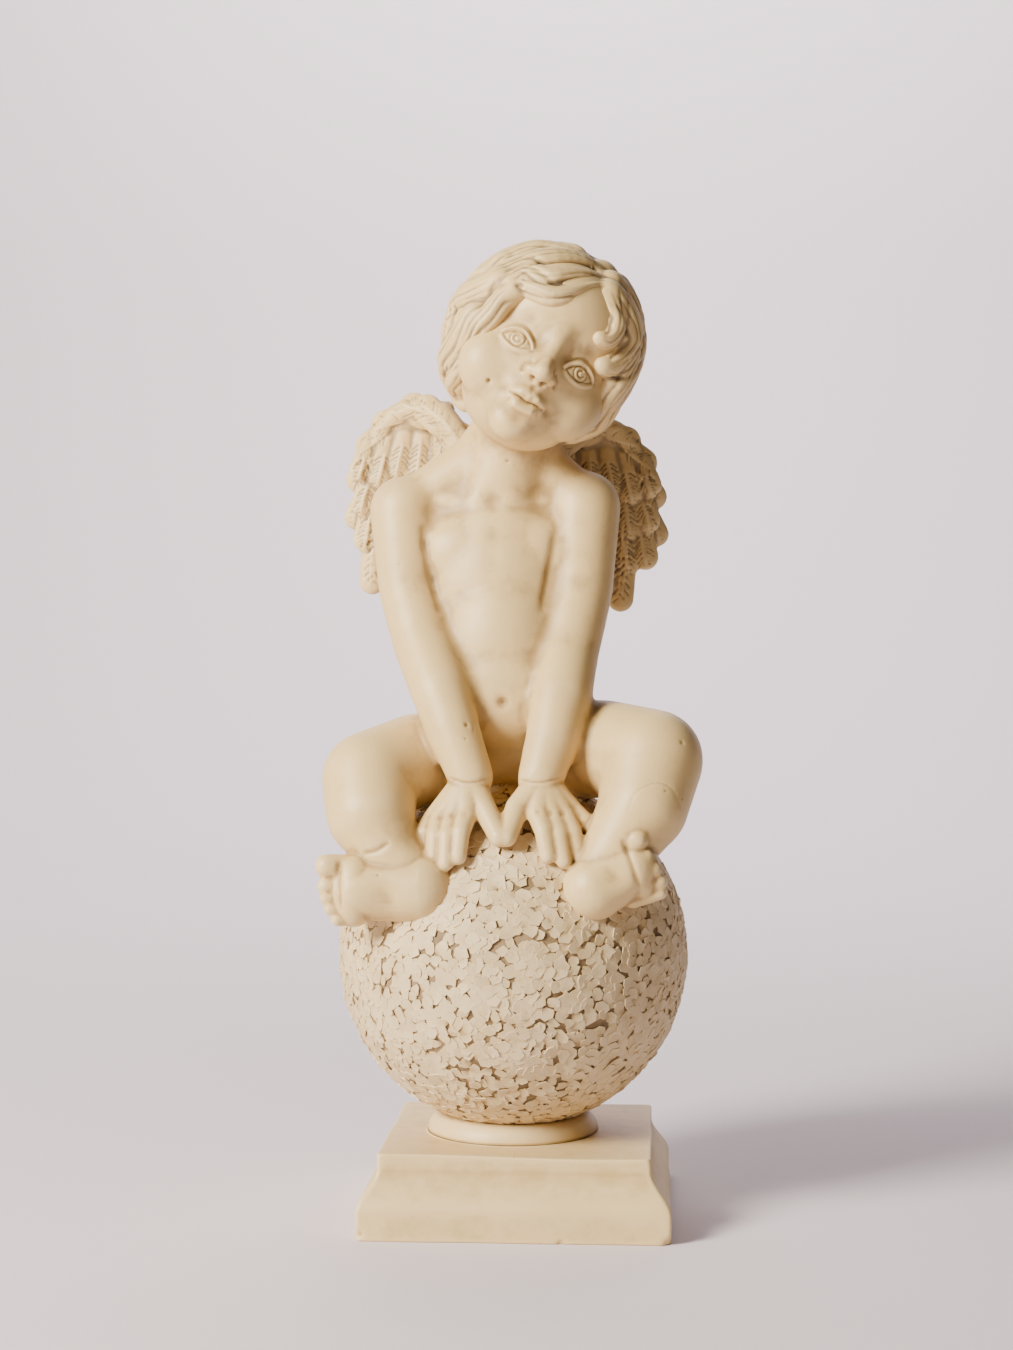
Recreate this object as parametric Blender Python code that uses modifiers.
"""A winged infant seated on a ball, on a square plinth: one casting.

Metres, +Z up. The origin is at the middle of the plinth's underside, the figure looks along -Y,
and +X is at the viewer's right. The plinth, its collar and the ball have sizes of their own. The
figure is free form: its points are thousandths of a metre above the top of the ball, at the real
height, and they grow and shrink with FIGURE_HEIGHT.
"""

import math

import bmesh
import bpy
from mathutils import Euler, Matrix, Vector

# Driving sizes, in metres
FIGURE_HEIGHT = 0.234
BALL_DIAMETER = 0.152
BALL_SHIFT = -0.0033
PLINTH_WIDTH = 0.130
PLINTH_HEIGHT = 0.0343
BAND_HEIGHT = 0.0115
LIP_HEIGHT = 0.0063
TOP_SET_IN = 0.0080
COLLAR_DIAMETER = 0.074
COLLAR_HEIGHT = 0.0075
COLLAR_SET_IN = 0.0060
BALL_SEAT_GAP = 0.0007

# How finely the casting is modelled
BODY_VOXEL = 0.0020
FORM_VOXEL = 0.0014
CASTING_FACES = 9300
COLLAR_STEPS = 40
FLARE_STEPS = 7
COLLAR_CURVE_STEPS = 4

# Sizes that follow
BALL_RADIUS = BALL_DIAMETER / 2
BALL_CENTRE = Vector((BALL_SHIFT, 0, PLINTH_HEIGHT + BALL_SEAT_GAP + BALL_RADIUS))
SEAT = Vector((0, 0, BALL_CENTRE.z + BALL_RADIUS))
MODELLED_HEIGHT = 234
SHARE = FIGURE_HEIGHT / MODELLED_HEIGHT

# The head leans to the viewer's right, and is turned a little that way
HEAD_PLACE = (9.6, -12, 183)
HEAD_ROLL = math.radians(28)
HEAD_NOD = math.radians(-4)
HEAD_TURN = math.radians(12)
HAIR_RADII = (40, 43, 44)

# The middle of the back, where the wings are mirrored, and how much lower the right wing is
WING_MIDDLE = -9
RIGHT_WING_DROP = 8
FEATHER_TIP_LINE = 80
FEATHER_WIDTH = 12
FEATHER_THICKNESS = 6
LEFT_FEATHER_LEAN = 0.06
RIGHT_FEATHER_LEAN = -0.10


def figure_frame():
    """Return the matrix from the figure's own units to the world."""
    return Matrix.Translation(SEAT) @ Matrix.Scale(SHARE, 4)


def head_frame():
    """Return the matrix from the head's own units, centred in the head, to the figure's."""
    lean = Matrix.Rotation(HEAD_ROLL, 4, "Y")
    nod = Matrix.Rotation(HEAD_NOD, 4, "X")
    turn = Matrix.Rotation(HEAD_TURN, 4, "Z")
    return Matrix.Translation(HEAD_PLACE) @ lean @ nod @ turn


def new_collection(name):
    """Make a collection in the scene."""
    collection = bpy.data.collections.new(name)
    bpy.context.scene.collection.children.link(collection)
    return collection


def new_object(clay, name, collection):
    """Turn a bmesh into an object."""
    mesh = bpy.data.meshes.new(name)
    clay.to_mesh(mesh)
    clay.free()
    piece = bpy.data.objects.new(name, mesh)
    collection.objects.link(piece)
    return piece


def add_shape(clay, matrix, create, **settings):
    """Add a primitive to the clay: it is made in a bmesh of its own, which keeps large clay quick."""
    shape = bmesh.new()
    create(shape, matrix=matrix, **settings)
    mesh = bpy.data.meshes.new("shape")
    shape.to_mesh(mesh)
    shape.free()
    clay.from_mesh(mesh)
    bpy.data.meshes.remove(mesh)


def add_ellipsoid(clay, frame, centre, radii, turn=(0, 0, 0)):
    """Add an ellipsoid, turned by degrees about its own X, Y and Z."""
    angles = Euler([math.radians(angle) for angle in turn])
    place = Matrix.Translation(centre) @ angles.to_matrix().to_4x4()
    matrix = frame @ place @ Matrix.Diagonal((*radii, 1))
    add_shape(clay, matrix, bmesh.ops.create_uvsphere, u_segments=24, v_segments=14, radius=1)


def add_limb(clay, frame, joints):
    """Add a run of balls joined by cones, through joints of x, y, z and radius."""
    for x, y, z, radius in joints:
        add_ellipsoid(clay, frame, (x, y, z), (radius, radius, radius))
    for start, end in zip(joints, joints[1:]):
        foot = Vector(start[:3])
        run = Vector(end[:3]) - foot
        turn = run.to_track_quat("Z", "Y").to_matrix().to_4x4()
        matrix = frame @ Matrix.Translation(foot + run / 2) @ turn
        add_shape(clay, matrix, bmesh.ops.create_cone, cap_ends=True, segments=20,
                  radius1=start[3], radius2=end[3], depth=run.length)


def curve_point(points, position):
    """Return the point of a smooth curve through points, position 0 to 1."""
    scaled = position * (len(points) - 1)
    index = min(int(scaled), len(points) - 2)
    part = scaled - index
    before = points[max(index - 1, 0)]
    after = points[min(index + 2, len(points) - 1)]
    result = []
    for p0, p1, p2, p3 in zip(before, points[index], points[index + 1], after):
        bend = (2 * p0 - 5 * p1 + 4 * p2 - p3) * part ** 2 + (3 * (p1 - p2) + p3 - p0) * part ** 3
        result.append(p1 + 0.5 * ((p2 - p0) * part + bend))
    return result


def add_torso(clay, frame):
    """Add the hips, belly, chest, back and neck."""
    add_ellipsoid(clay, frame, (-6, 9, 12), (37, 31, 25))
    add_ellipsoid(clay, frame, (-7, -5, 38), (34, 29, 31))
    add_ellipsoid(clay, frame, (-8, -2, 58), (33, 27, 34))
    add_ellipsoid(clay, frame, (-10, 0, 80), (34, 25, 42))
    add_ellipsoid(clay, frame, (-8, -3, 56), (30, 28.5, 44))
    add_ellipsoid(clay, frame, (-10, -1, 92), (32, 21, 34))
    add_ellipsoid(clay, frame, (-11, 3, 105), (43, 19, 18))
    add_ellipsoid(clay, frame, (-11, 3, 118), (46, 15, 20))
    for side in (-1, 1):
        add_ellipsoid(clay, frame, (-10 + 15 * side, -9, 97), (17, 11, 16))
        add_ellipsoid(clay, frame, (-6 + 17 * side, 22, 10), (19, 19, 17))
        add_ellipsoid(clay, frame, (-9 + 17 * side, 15, 104), (14, 8, 18))
    add_limb(clay, frame, [(-10, 3, 118, 20), (-2, 0, 150, 19), (4, -4, 164, 18)])
    add_limb(clay, frame, [(-46, 2, 120, 11), (-18, 3, 136, 14), (-6, 1, 150, 15)])
    add_limb(clay, frame, [(23, 2, 121, 12), (6, 3, 135, 14), (2, 0, 150, 15)])


def add_arms(clay, frame):
    """Add both arms, straight down to wrists that rest in front of the seat."""
    add_limb(clay, frame, [(-51, 0, 116, 15), (-48, -8, 80, 13), (-40.5, -18, 57, 13.2),
                           (-32.3, -31, 38, 12.8), (-26.5, -38, 22, 11.4), (-18.5, -43, 2, 9.8)])
    add_limb(clay, frame, [(27.5, 0, 117, 16), (26, -7, 80, 14), (20.5, -16, 54, 13.9),
                           (18.5, -29, 35, 13.2), (15.3, -37, 18, 11.6), (10.3, -43, 1, 9.8)])


def add_legs(clay, frame):
    """Add both legs: thighs spread along the ball, and shins folded back below the knees."""
    add_limb(clay, frame, [(-20, 6, 8, 21), (-44, -17, 8, 20), (-62, -37, 1, 20), (-60, -46, -13, 19),
                           (-53, -50, -27, 15), (-44, -54, -36, 12)])
    add_limb(clay, frame, [(10, 6, 9, 21), (36, -16, 13, 21), (57, -35, 9, 21.5), (53, -45, -10, 19),
                           (43, -51, -26, 15), (35, -55, -36, 12)])


def add_head(clay, frame):
    """Add the skull and the soft masses of the face."""
    add_ellipsoid(clay, frame, (0, 5, 9), (35, 37, 34))
    add_ellipsoid(clay, frame, (0, -9, -9), (33, 31, 32))
    add_ellipsoid(clay, frame, (0, -15, 14), (30, 24, 24))
    add_ellipsoid(clay, frame, (0, -13, -27), (25, 23, 18))
    add_ellipsoid(clay, frame, (0, -28, -37), (10, 8, 8))
    add_ellipsoid(clay, frame, (0, -32, -25), (12, 8, 9))
    add_limb(clay, frame, [(0, -33, 4, 7), (0, -34.5, -8, 7), (0, -36, -14, 7)])
    for side in (-1, 1):
        add_ellipsoid(clay, frame, (17 * side, -21.5, -18), (16, 13, 16))


def add_features(clay, frame):
    """Add the nose, the lips, the eyes under their lids and the brows."""
    add_limb(clay, frame, [(0, -38.6, -9, 3.4), (0, -41.4, -14, 4.6)])
    add_limb(clay, frame, [(-8, -37, -26.4, 1.8), (-3.5, -39.6, -25.4, 2.6), (0, -40, -26, 2.5),
                           (3.5, -39.6, -25.4, 2.6), (8, -37, -26.4, 1.8)])
    add_limb(clay, frame, [(-6, -37, -29.6, 2), (0, -39.4, -30.6, 2.9), (6, -37, -29.6, 2)])
    for side in (-1, 1):
        add_ellipsoid(clay, frame, (4.4 * side, -39.4, -15.2), (3.3, 3.6, 2.9))
        add_ellipsoid(clay, frame, (15.2 * side, -31.2, -5.6), (7.6, 6.4, 4.8))
        add_limb(clay, frame, [(8 * side, -36.5, -6, 1.3), (15 * side, -37, -0.6, 1.5),
                               (22.5 * side, -32, -6, 1.3)])


def hair_point(azimuth, height, lift=0.0):
    """Return the point of the hair's surface at degrees from the front and above the middle."""
    turn = math.radians(azimuth)
    rise = math.radians(height)
    direction = Vector((math.sin(turn) * math.cos(rise), -math.cos(turn) * math.cos(rise), math.sin(rise)))
    return Vector(radius * part for radius, part in zip(HAIR_RADII, direction)) + direction * lift


def add_lock(clay, frame, route, radius, tip=0.45):
    """Add a lock of hair that follows a route of azimuths and heights, and thins to its tip."""
    steps = 3 * (len(route) - 1)
    joints = []
    for step in range(steps + 1):
        position = step / steps
        azimuth, height = curve_point(route, position)
        size = radius * (1 - (1 - tip) * max(0, position - 0.45) / 0.55)
        joints.append((*hair_point(azimuth, height, -0.45 * radius), size))
    add_limb(clay, frame, joints)


def add_hair(clay, frame):
    """Add the hair: the fringe combed across, the locks round the face and the waves behind."""
    add_ellipsoid(clay, frame, (0, 6, 7), (37.5, 36, 35.5))
    fringe = [
        ([(-44, 17), (-42, 22), (-30, 22), (-18, 23), (-9, 30), (0, 39), (12, 47)], 5.4, 0.7),
        ([(-48, 19), (-42, 28), (-27, 31), (-15, 41), (1, 51), (14, 54)], 7.0, 0.45),
        ([(-65, 12), (-56, 28), (-44, 43), (-27, 57), (0, 66), (16, 61)], 8.0, 0.45),
        ([(-91, 16), (-88, 33), (-82, 50), (-70, 65), (-34, 77), (20, 77)], 8.4, 0.45),
    ]
    left_locks = [
        ([(-43, 16), (-47, 8), (-49, -1), (-53, -11), (-56, -20), (-63, -31), (-83, -40)], 5.4, 0.5),
        ([(-58, 18), (-69, 10), (-88, 3), (-96, -8), (-94, -18), (-83, -24)], 9.6, 0.5),
        ([(-60, -7), (-63, -16), (-74, -27), (-94, -35), (-101, -44), (-104, -54), (-100, -60)], 8.8, 0.5),
        ([(-61, -32), (-76, -42), (-95, -50), (-100, -58)], 6.2, 0.5),
        ([(-84, 34), (-98, 12), (-104, -8), (-98, -28)], 8.0, 0.45),
    ]
    right_locks = [
        ([(19, 39), (24, 33), (27, 27), (26, 21), (23, 17)], 5.0, 0.62),
        ([(22, 42), (35, 37), (47, 31), (49, 24), (43, 15), (38, 7), (35, 2)], 6.8, 0.35),
        ([(32, 59), (56, 53), (67, 44), (70, 34), (64, 24), (56, 14)], 7.0, 0.45),
        ([(65, 25), (59, 13), (54, 4), (56, -5), (61, -13), (66, -22)], 6.4, 0.5),
        ([(60, -5), (74, -18), (82, -30), (87, -40)], 6.0, 0.5),
        ([(50, 62), (76, 44), (88, 20), (88, -4), (86, -24)], 8.0, 0.45),
    ]
    for route, radius, tip in fringe + left_locks + right_locks:
        add_lock(clay, frame, route, radius, tip)
    for step in range(7):
        azimuth = 108 + 24 * step
        wave = 9 if step % 2 else -9
        add_lock(clay, frame, [(azimuth, 76), (azimuth + wave, 50), (azimuth - wave, 22), (azimuth + wave, -4),
                               (azimuth, -24)], 9.0)
        low = azimuth + 12
        add_lock(clay, frame, [(low, 10), (low - wave, -16), (low + wave, -36), (low, -52)], 8.5)


def add_hand(clay, frame, wrist, knuckles, tips, thumb):
    """Add a hand laid on the ball: the back of the hand, four fingers and the thumb."""
    for knuckle, tip in zip(knuckles, tips):
        middle = [(a + b) / 2 for a, b in zip(knuckle, tip)]
        rise = Vector(middle) - (BALL_CENTRE - SEAT) / SHARE
        middle = Vector(middle) + 2.2 * rise.normalized()
        add_limb(clay, frame, [(*wrist, 7.4), (*knuckle, 4.6), (*middle, 3.9), (*tip, 3.4)])
    add_limb(clay, frame, [(*wrist, 7.4), (*thumb[0], 5.0), (*thumb[1], 4.2)])


def add_hands(clay, frame):
    """Add both hands, side by side with the thumbs meeting."""
    add_hand(clay, frame, (-19.5, -43.5, -1),
             [(-19.8, -52.6, -13), (-25.6, -51.4, -14), (-30.4, -49.6, -14.5), (-34.4, -46.8, -16)],
             [(-22.2, -61.5, -29.5), (-27.4, -61.5, -32), (-32.6, -59, -31.5), (-38, -53, -28)],
             [(-12.4, -50.6, -10), (-5.8, -59.6, -21.5)])
    add_hand(clay, frame, (11, -43.5, -1),
             [(9.6, -52.6, -12), (15.2, -51.6, -12.5), (20, -49.6, -12.5), (24, -45.8, -12)],
             [(14.4, -61, -29), (20.8, -60.4, -31), (26.8, -57, -29.5), (31.6, -48.5, -22)],
             [(1.2, -50.6, -10), (-2.6, -59.6, -21.5)])


def add_left_foot(clay, frame):
    """Add the viewer's left foot, on its edge with its sole to the front and the big toe on top."""
    add_limb(clay, frame, [(-36, -57, -46, 12.2), (-51, -57, -44.5, 11), (-64, -57, -44, 12)])
    add_ellipsoid(clay, frame, (-65.5, -59, -44), (10, 9.5, 15))
    add_limb(clay, frame, [(-68, -58, -35, 6), (-77, -61, -33.6, 5)])
    for toe in range(4):
        height = -41.5 - 4.6 * toe
        reach = (-77, -76.4, -74.6, -72)[toe]
        add_limb(clay, frame, [(-66, -58, height + 1, 4.2), (reach, -62, height, 3.6 - 0.2 * toe)])


def add_right_foot(clay, frame):
    """Add the viewer's right foot, its heel low and its toes fanned up and out."""
    add_limb(clay, frame, [(31.5, -59, -43.5, 12), (41, -57, -38, 11.6), (48, -56, -34, 11.5)])
    add_ellipsoid(clay, frame, (49, -57, -34), (9, 9, 14), (0, -26, 0))
    add_limb(clay, frame, [(44, -58, -27.5, 6), (50.5, -61.5, -22.2, 4.8)])
    tips = [(54, -61, -29.4), (57.4, -60, -34.4), (60, -58.5, -39.4), (60, -57.5, -44)]
    for toe, (x, y, z) in enumerate(tips):
        add_limb(clay, frame, [(x - 11, y + 2, z - 2.5, 4.4), (x, y, z, 3.7 - 0.2 * toe)])


def wing_rim(position):
    """Return a point of the wing's leading edge, out from the back, for position 0 to 1."""
    edge = [(13, 20, 128), (25, 30, 156), (38, 36, 163), (50, 39, 160), (58, 40, 150), (61, 39, 136)]
    return Vector(curve_point(edge, position))


def add_feather(clay, frame, root, tip, width):
    """Add one feather: a flat leaf with a round tip, its flat sides to the front and back."""
    along = tip - root
    length = along.length
    along.normalize()
    across = along.cross(Vector((0, 1, 0))).normalized()
    through = across.cross(along)
    turn = Matrix((across, through, along)).transposed().to_4x4()
    flatten = Matrix.Diagonal((1, FEATHER_THICKNESS / width, 1, 1))
    radius = width / 2
    joints = [(0, 0, 0, 0.6 * radius), (0, 0, 0.5 * length, 0.95 * radius), (0, 0, length - radius, radius)]
    add_limb(clay, frame @ Matrix.Translation(root) @ turn @ flatten, joints)


def add_flight_feathers(clay, frame, lean):
    """Add the long feathers that hang from the wing's leading edge and lean out from the body."""
    for step in range(7):
        position = 0.16 + 0.84 * step / 6
        root = wing_rim(position) + Vector((-4, 0, 2))
        length = root.z - FEATHER_TIP_LINE - 16 * (1 - position)
        tip = root + length * Vector((lean * position, -0.06, -1))
        add_feather(clay, frame, root, tip, FEATHER_WIDTH)


def add_coverts(clay, frame):
    """Add the short feathers: three rows that overlap like shingles, on the wing's front and back."""
    for row, height in enumerate([131, 115, 99]):
        for column in range(5):
            for face in (-1, 1):
                reach = 66 - 8.6 * column - row
                tip = Vector((reach, 39 + face * (5.2 - 0.9 * row), height - 3 * (column % 2)))
                rise = 18 + 5 * min(column + row, 3)
                root = Vector((reach - 5, 39 + face * 1.5, height + rise))
                add_feather(clay, frame, root, tip, FEATHER_WIDTH)


def add_outer_plates(clay, frame):
    """Add the broad overlapping feathers along the leading edge, with their tips turned out."""
    plates = [((12, 21, 136), (30, 31, 161), 13), ((18, 25, 146), (40, 34, 168), 14),
              ((24, 29, 155), (48, 38, 167), 15), ((36, 35, 160), (61, 40, 155), 15),
              ((45, 38, 160), (67, 41, 143), 14), ((54, 39, 152), (70, 41, 127), 12),
              ((57, 40, 138), (70.5, 41, 110), 11.5)]
    for root, tip, width in plates:
        add_feather(clay, frame, Vector(root), Vector(tip), width)


def add_wing(clay, frame, lean):
    """Add a wing: a thick rolled rim, long flight feathers, rows of coverts and outer plates."""
    joints = []
    for step in range(13):
        position = step / 12
        joints.append((*wing_rim(position), 7.0 - 2.4 * position))
    add_limb(clay, frame, joints)
    add_limb(clay, frame, [(10, 14, 112, 9), (13, 20, 128, 9), (20, 26, 146, 8)])
    add_flight_feathers(clay, frame, lean)
    add_coverts(clay, frame)
    add_outer_plates(clay, frame)


def mirrored(drop):
    """Return the matrix that turns wing units into figure units on the viewer's left or right."""
    side = 1 if drop else -1
    return Matrix.Translation((WING_MIDDLE, 0, -drop)) @ Matrix.Scale(side, 4, (1, 0, 0))


def flare_half_width(height):
    """Return half the plinth's width at a height: straight band, hollow flare, straight lip."""
    rise = (height - BAND_HEIGHT) / (PLINTH_HEIGHT - LIP_HEIGHT - BAND_HEIGHT)
    rise = min(max(rise, 0), 1)
    return PLINTH_WIDTH / 2 - TOP_SET_IN * rise * rise * (3 - 2 * rise)


def add_turned(name, profile, steps, collection):
    """Turn a closed profile of radius and height, from the top down, about the vertical axis."""
    clay = bmesh.new()
    points = [clay.verts.new((radius, 0, height)) for radius, height in profile]
    for start, end in zip(points, points[1:]):
        clay.edges.new((start, end))
    piece = new_object(clay, name, collection)
    screw = piece.modifiers.new("Turn", "SCREW")
    screw.steps = steps
    screw.render_steps = steps
    screw.use_merge_vertices = True
    screw.merge_threshold = 0.00001
    screw.use_normal_calculate = True
    return piece


def add_plinth(collection):
    """Add the square plinth: its flare is a profile turned in four steps."""
    corner = math.sqrt(2)
    heights = [BAND_HEIGHT + (PLINTH_HEIGHT - LIP_HEIGHT - BAND_HEIGHT) * step / FLARE_STEPS
               for step in range(FLARE_STEPS, -1, -1)]
    profile = [(0, PLINTH_HEIGHT), (flare_half_width(PLINTH_HEIGHT) * corner, PLINTH_HEIGHT)]
    profile += [(flare_half_width(height) * corner, height) for height in heights]
    profile += [(PLINTH_WIDTH / 2 * corner, 0), (0, 0)]
    plinth = add_turned("plinth_form", profile, 4, collection)
    plinth.rotation_euler = (0, 0, math.radians(45))
    return plinth


def add_collar(collection):
    """Add the low collar, hollow in profile, that carries the ball on the plinth."""
    foot = PLINTH_HEIGHT - BAND_HEIGHT / 2
    profile = [(0, PLINTH_HEIGHT + COLLAR_HEIGHT)]
    for step in range(COLLAR_CURVE_STEPS, -1, -1):
        turn = math.pi / 2 * step / COLLAR_CURVE_STEPS
        radius = COLLAR_DIAMETER / 2 - COLLAR_SET_IN * math.sin(turn)
        height = PLINTH_HEIGHT + COLLAR_HEIGHT * (1 - math.cos(turn))
        profile.append((radius, height))
    profile += [(COLLAR_DIAMETER / 2, foot), (0, foot)]
    collar = add_turned("collar_form", profile, COLLAR_STEPS, collection)
    collar.location = (BALL_SHIFT, 0, 0)
    return collar


def add_modifier(piece, kind, **settings):
    """Add a modifier with its settings."""
    modifier = piece.modifiers.new(kind.title(), kind)
    for name, value in settings.items():
        setattr(modifier, name, value)
    return modifier


def evaluated_mesh(piece):
    """Return a plain mesh of an object as its modifiers leave it."""
    graph = bpy.context.evaluated_depsgraph_get()
    return bpy.data.meshes.new_from_object(piece.evaluated_get(graph))


def triangle_count(piece):
    """Return how many triangles an object has once its modifiers have run."""
    bpy.context.view_layer.update()
    mesh = evaluated_mesh(piece)
    mesh.calc_loop_triangles()
    count = len(mesh.loop_triangles)
    bpy.data.meshes.remove(mesh)
    return count


def model_body(frame, head, guides):
    """Model the smooth body and head, and return their mesh."""
    clay = bmesh.new()
    add_torso(clay, frame)
    add_arms(clay, frame)
    add_legs(clay, frame)
    add_head(clay, head)
    body = new_object(clay, "body_form", guides)
    add_modifier(body, "REMESH", mode="VOXEL", voxel_size=BODY_VOXEL)
    add_modifier(body, "SMOOTH", factor=0.5, iterations=12)
    bpy.context.view_layer.update()
    mesh = evaluated_mesh(body)
    bpy.data.objects.remove(body)
    return mesh


def plaster():
    """Make the cream paint of the casting."""
    material = bpy.data.materials.new("cream_plaster")
    material.use_nodes = True
    shader = material.node_tree.nodes["Principled BSDF"]
    shader.inputs["Base Color"].default_value = (0.69, 0.59, 0.43, 1)
    shader.inputs["Roughness"].default_value = 0.5
    shader.inputs["Metallic"].default_value = 0.0
    return material


def build():
    """Model the whole casting."""
    for leftover in list(bpy.data.objects):
        bpy.data.objects.remove(leftover)
    parts = new_collection("winged_infant_on_ball")
    guides = new_collection("forms")
    frame = figure_frame()
    head = frame @ head_frame()

    clay = bmesh.new()
    clay.from_mesh(model_body(frame, head, guides))
    add_features(clay, head)
    add_hair(clay, head)
    add_hands(clay, frame)
    add_left_foot(clay, frame)
    add_right_foot(clay, frame)
    add_wing(clay, frame @ mirrored(0), LEFT_FEATHER_LEAN)
    add_wing(clay, frame @ mirrored(RIGHT_WING_DROP), RIGHT_FEATHER_LEAN)
    ball = Matrix.Translation(BALL_CENTRE) @ Matrix.Scale(BALL_RADIUS, 4)
    add_shape(clay, ball, bmesh.ops.create_icosphere, subdivisions=6, radius=1)

    casting = new_object(clay, "cherub_on_ball", parts)
    add_modifier(casting, "REMESH", mode="VOXEL", voxel_size=FORM_VOXEL)
    add_modifier(casting, "SMOOTH", factor=0.5, iterations=2)
    add_modifier(casting, "DECIMATE", ratio=CASTING_FACES / triangle_count(casting))
    for form in (add_plinth(guides), add_collar(guides)):
        form.hide_render = True
        form.display_type = "WIRE"
        add_modifier(casting, "BOOLEAN", operation="UNION", solver="EXACT", object=form)
    casting.data.materials.append(plaster())
    casting.data.set_sharp_from_angle(angle=math.radians(40))


build()
